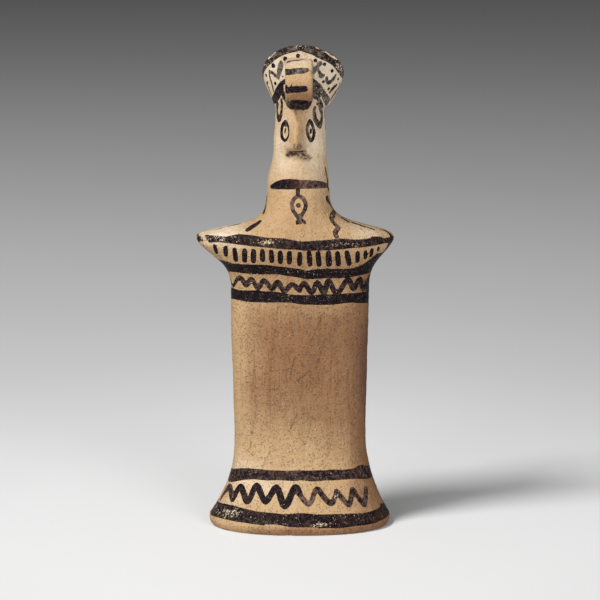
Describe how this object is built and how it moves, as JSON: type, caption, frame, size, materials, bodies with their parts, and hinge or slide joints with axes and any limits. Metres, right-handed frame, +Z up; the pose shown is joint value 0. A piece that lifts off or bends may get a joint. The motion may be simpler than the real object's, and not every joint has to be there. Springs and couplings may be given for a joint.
{
  "type": "terracotta goddess figurine",
  "caption": "Small standing terracotta goddess: flat board-like body on a flared foot, wing-like shoulders, pinched face and leaning headdress with a rolled strip.",
  "frame": {"origin": "middle of the flat underside", "axes": "+Z up along the figure, the front faces -Y, +X is to the viewer's right when looking at the front"},
  "size_m": [0.0814, 0.0475, 0.2],
  "materials": {
    "terracotta": "matt buff fired clay with worn dark-brown painted bands, zigzags and tongues"
  },
  "bodies": {
    "root": {"goddess_figurine": "terracotta"}
  },
  "joints": []
}
